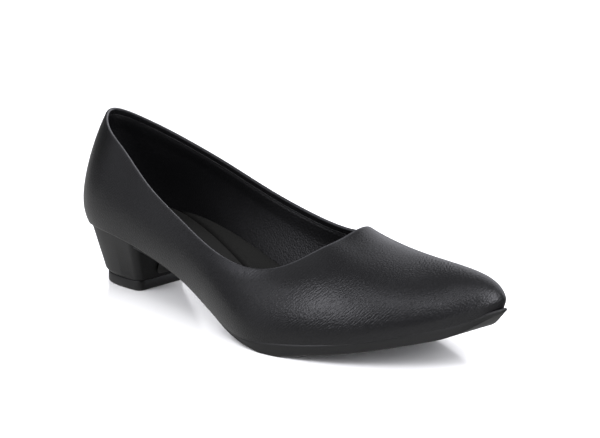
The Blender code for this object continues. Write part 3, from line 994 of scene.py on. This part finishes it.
def heel_outlines(count=141):
    """The heel's outline under the upper, inside the feather line, and at the floor, a squared oval,
    with matching points."""
    from_u = place_at(breast_x(-SEAT_HALF_WIDTH, SEAT_HEIGHT) - HEEL_CORNER)
    to_u = 1.0 - place_at(breast_x(SEAT_HALF_WIDTH, SEAT_HEIGHT) - HEEL_CORNER)
    feather, _, _, _, out = rib_controls(np.linspace(from_u, to_u, 401))
    seat = feather[:, :2] - out * HEEL_INSET
    angle = np.radians(np.linspace(-90.0, 90.0, 801))
    deep = breast_x(0.0, TIP_HEIGHT) - HEEL_CORNER - TIP_BACK_X
    square = 2.0 / TIP_SQUARENESS
    oval = np.column_stack([
        TIP_BACK_X + deep - deep * np.abs(np.cos(angle)) ** square,
        TIP_HALF_WIDTH * np.sign(np.sin(angle)) * np.abs(np.sin(angle)) ** square,
    ])
    oval[:, 0] -= BREAST_SKEW * oval[:, 1]
    top = heel_line(even_halves(seat, count), SEAT_HEIGHT)
    return top, heel_line(even_halves(oval, count), TIP_HEIGHT)


def drawn_in(line, inset):
    """An outline drawn in towards its middle by about an inset."""
    middle = line.mean(axis=0)
    return middle + (line - middle) * (1.0 - inset / TIP_HALF_WIDTH)


def capped(rings, across):
    """A closed body: the tube through its rings and a ladder over each end."""
    return [tube(rings), sheet(ladder(rings[0], across)), sheet(ladder(rings[-1], across))]


class PUMP_OT_heel(Operator):
    """Covered heel block and its rubber top piece"""

    bl_idname = "pump.heel"
    bl_label = "Heel"

    def execute(self, context):
        colours = context.scene.pump_colours
        cover = leather_material(
            "smooth_heel_cover", colours.cover, roughness=0.42, pebble_mm=0.6, relief_mm=0.08, ior=1.33,
        )
        rubber = rubber_material("moulded_tip_rubber", colours.rubber, roughness=0.55)
        top, foot = heel_outlines()
        put_mesh("covered_heel", capped(self.block(top, foot), 12), cover, "heel")
        rings = [np.column_stack([drawn_in(foot, inset), np.full(len(foot), z)]) for inset, z in TIP_EDGE]
        put_mesh("rubber_heel_tip", capped(rings, 24), rubber, "heel_tip")
        return {"FINISHED"}

    def block(self, top, foot):
        """Rings of the block: outlines between the top one and the foot, in straight lines but for the
        taper that is held back behind the breast and catches up in a curl."""
        behind = breast_x(top[:, 1], SEAT_HEIGHT) - HEEL_CORNER - top[:, 0]
        behind = np.clip(behind / HEEL_CURL_REACH, 0.0, 1.0)
        high = floor_height(top[:, 0]) - GAP
        low = TIP_HEIGHT + GAP
        shaft = np.linspace(0.0, HEEL_CURL_FROM, 24)
        rings = []
        for t in np.concatenate([shaft, np.linspace(HEEL_CURL_FROM, 1.0, 7)[1:]]):
            curl = ramp(t, HEEL_CURL_FROM, 1.0 - HEEL_CURL_FROM)
            taper = (t * (1.0 - HEEL_CURL * behind * (1.0 - curl)))[:, None]
            plan = (1.0 - taper) * top + taper * foot
            rings.append(np.column_stack([plan, (1.0 - t) * high + t * low]))
        return rings


SoftBox = namedtuple(
    "SoftBox", "name azimuth elevation wide tall radiance distance roll", defaults=(1.2, 0.0),
)

# Azimuth 0 is off the toe, -90 off the outer side, for the camera too; distances and sizes in metres
SOFT_BOXES = [
    SoftBox("left_soft_box", -98.0, 37.0, 0.5, 0.6, 6.3),
    SoftBox("far_left_soft_box", -138.0, 31.0, 0.62, 0.36, 1.25),
    SoftBox("low_left_soft_box", -130.0, 10.0, 0.8, 0.5, 0.6),
    SoftBox("rear_soft_box", 178.0, 52.0, 0.9, 0.7, 0.3),
    SoftBox("front_soft_box", -68.0, 60.0, 0.5, 0.3, 4.1),
    SoftBox("high_right_soft_box", -23.0, 44.0, 0.22, 0.36, 9.2),
    SoftBox("right_soft_box", -2.0, 17.0, 0.4, 0.74, 10.4),
    SoftBox("backdrop", 84.0, 41.0, 3.0, 2.6, 2.15, distance=2.2, roll=25.0),
    SoftBox("low_backdrop", 105.0, 3.0, 4.6, 1.2, 0.9, distance=2.2),
]

# The soft boxes are a little cooler than the floor's light
LIGHT_TINT = linear("f7f7ff")

# The wide light that only the floor gets: its strength, and its spread in degrees
FLOOR_LIGHT = 4.3
FLOOR_LIGHT_SPREAD = 150.0

# How bright the room is from straight down, 0, over the horizon, 0.5, to straight up, 1
ROOM_GLOW = [(0.46, 0.6), (0.5, 0.02), (0.66, 0.03), (0.86, 0.2), (1.0, 0.14)]

# Behind the inner side the room is dark, as the floor under the arch is
DARK_WAY = (0.643, 0.766, 0.0)
DARK_FADE = {"From Min": 0.3, "From Max": 0.75, "To Min": 1.0, "To Max": 0.1}

# Half the width of the floor, in metres
FLOOR_REACH = 9.0


def part_point(point):
    """A point of the last's frame in the part's frame, in metres."""
    return Vector(((np.array(point) - CENTRE) * MM).tolist())


def way_out(azimuth, elevation):
    """The direction from the shoe at an azimuth and an elevation in degrees."""
    azimuth, elevation = np.radians([azimuth, elevation])
    level = np.cos(elevation)
    return Vector((np.cos(azimuth) * level, np.sin(azimuth) * level, np.sin(elevation)))


def soft_box(box):
    """A soft box round the shoe that faces it. Its power is its radiance times pi times its area."""
    lamp = bpy.data.lights.new(box.name, "AREA")
    lamp.shape = "RECTANGLE"
    lamp.size = box.wide
    lamp.size_y = box.tall
    lamp.color = LIGHT_TINT
    lamp.energy = box.radiance * np.pi * box.wide * box.tall
    stand = put(box.name, lamp)
    way = way_out(box.azimuth, box.elevation)
    stand.location = part_point(VIEW_TARGET) + way * box.distance
    turn = Quaternion((0.0, 0.0, 1.0), np.radians(box.roll))
    stand.rotation_euler = ((-way).to_track_quat("-Z", "Y") @ turn).to_euler()
    stand.visible_camera = False


class PUMP_OT_stage(Operator):
    """Polished pale floor, soft studio light and the photograph's camera"""

    bl_idname = "pump.stage"
    bl_label = "Stage"

    def execute(self, context):
        scene = context.scene
        floor = self.floor(scene)
        scene.world = self.room()
        self.floor_light(floor)
        for box in SOFT_BOXES:
            soft_box(box)
        scene.view_settings.view_transform = "Standard"
        self.camera(scene)
        return {"FINISHED"}

    def floor(self, scene):
        """A wide sheet of polished white acrylic: it mirrors the backdrop faintly at this low angle."""
        material, _, shader = new_material("polished_white_acrylic")
        shader.inputs["Base Color"].default_value = (*scene.pump_colours.floor, 1.0)
        shader.inputs["Roughness"].default_value = 0.16
        shader.inputs["IOR"].default_value = 1.49
        data = bpy.data.meshes.new("studio_floor")
        corners = FLOOR_REACH * np.array([(-1, -1, 0), (1, -1, 0), (1, 1, 0), (-1, 1, 0)])
        data.from_pydata(corners, [], [(0, 1, 2, 3)])
        data.materials.append(material)
        floor = put("studio_floor", data)
        floor.visible_glossy = False
        return floor

    def room(self):
        """A dim room whose lower half glows like the lit table, darker behind the inner side."""
        world = bpy.data.worlds.new("studio")
        world.use_nodes = True
        tree = world.node_tree
        way = add(tree, "TexCoord").outputs["Generated"]
        height = add(tree, "SeparateXYZ", None, {"Vector": way}).outputs["Z"]
        share = add(tree, "MapRange", {"From Min": -1.0}, {"Value": height}).outputs["Result"]
        glow = add(tree, "ValToRGB", None, {"Fac": share})
        stops = glow.color_ramp.elements
        for place, _ in ROOM_GLOW[1:-1]:
            stops.new(place)
        for stop, (place, level) in zip(stops, ROOM_GLOW):
            stop.position = place
            stop.color = (level, level, level, 1.0)
        side = add(tree, "VectorMath", {"operation": "DOT_PRODUCT", 1: DARK_WAY}, {0: way})
        lit = add(tree, "MapRange", DARK_FADE, {"Value": side.outputs["Value"]})
        sky = tree.nodes["Background"].inputs
        tree.links.new(glow.outputs["Color"], sky["Color"])
        tree.links.new(lit.outputs["Result"], sky["Strength"])
        return world

    def floor_light(self, floor):
        """A wide light overhead that is linked to the floor alone."""
        sun = bpy.data.lights.new("floor_light", "SUN")
        sun.energy = FLOOR_LIGHT
        sun.angle = np.radians(FLOOR_LIGHT_SPREAD)
        above = put("floor_light", sun)
        lit = bpy.data.collections.new("lit_by_floor_light")
        lit.objects.link(floor)
        above.light_linking.receiver_collection = lit

    def camera(self, scene):
        """The photograph's camera, level, with its target in the middle of the picture."""
        lens = bpy.data.cameras.new("camera")
        lens.sensor_width = VIEW_SENSOR
        lens.lens = VIEW_LENS
        camera = put("camera", lens)
        back = way_out(VIEW_AZIMUTH, VIEW_ELEVATION)
        camera.location = part_point(VIEW_TARGET) + back * VIEW_DISTANCE * MM
        camera.rotation_euler = (-back).to_track_quat("-Z", "Y").to_euler()
        scene.camera = camera


class PUMP_PT_panel(Panel):
    """Sizes, colours and pieces of the pump"""

    bl_idname = "PUMP_PT_panel"
    bl_label = "Block heel pump"
    bl_space_type = "VIEW_3D"
    bl_region_type = "UI"
    bl_category = "Pump"

    def draw(self, context):
        for group in (context.scene.pump_sizes, context.scene.pump_colours):
            for name in group.__annotations__:
                self.layout.prop(group, name)
        for step in STEPS:
            self.layout.operator(step.bl_idname)


STEPS = (PUMP_OT_upper, PUMP_OT_lining, PUMP_OT_sock, PUMP_OT_sole, PUMP_OT_heel, PUMP_OT_stage)
CLASSES = (PumpSizes, PumpColours) + STEPS + (PUMP_PT_panel,)


def register():
    """Registers the classes and hangs the sizes and colours on the scene."""
    for cls in CLASSES:
        bpy.utils.register_class(cls)
    bpy.types.Scene.pump_sizes = PointerProperty(type=PumpSizes)
    bpy.types.Scene.pump_colours = PointerProperty(type=PumpColours)


def unregister():
    """Takes away what register added."""
    del bpy.types.Scene.pump_colours
    del bpy.types.Scene.pump_sizes
    for cls in reversed(CLASSES):
        bpy.utils.unregister_class(cls)


def main():
    """Makes every piece and the stage."""
    register()
    bpy.ops.pump.upper()
    bpy.ops.pump.lining()
    bpy.ops.pump.sock()
    bpy.ops.pump.sole()
    bpy.ops.pump.heel()
    bpy.ops.pump.stage()


if __name__ == "__main__":
    main()
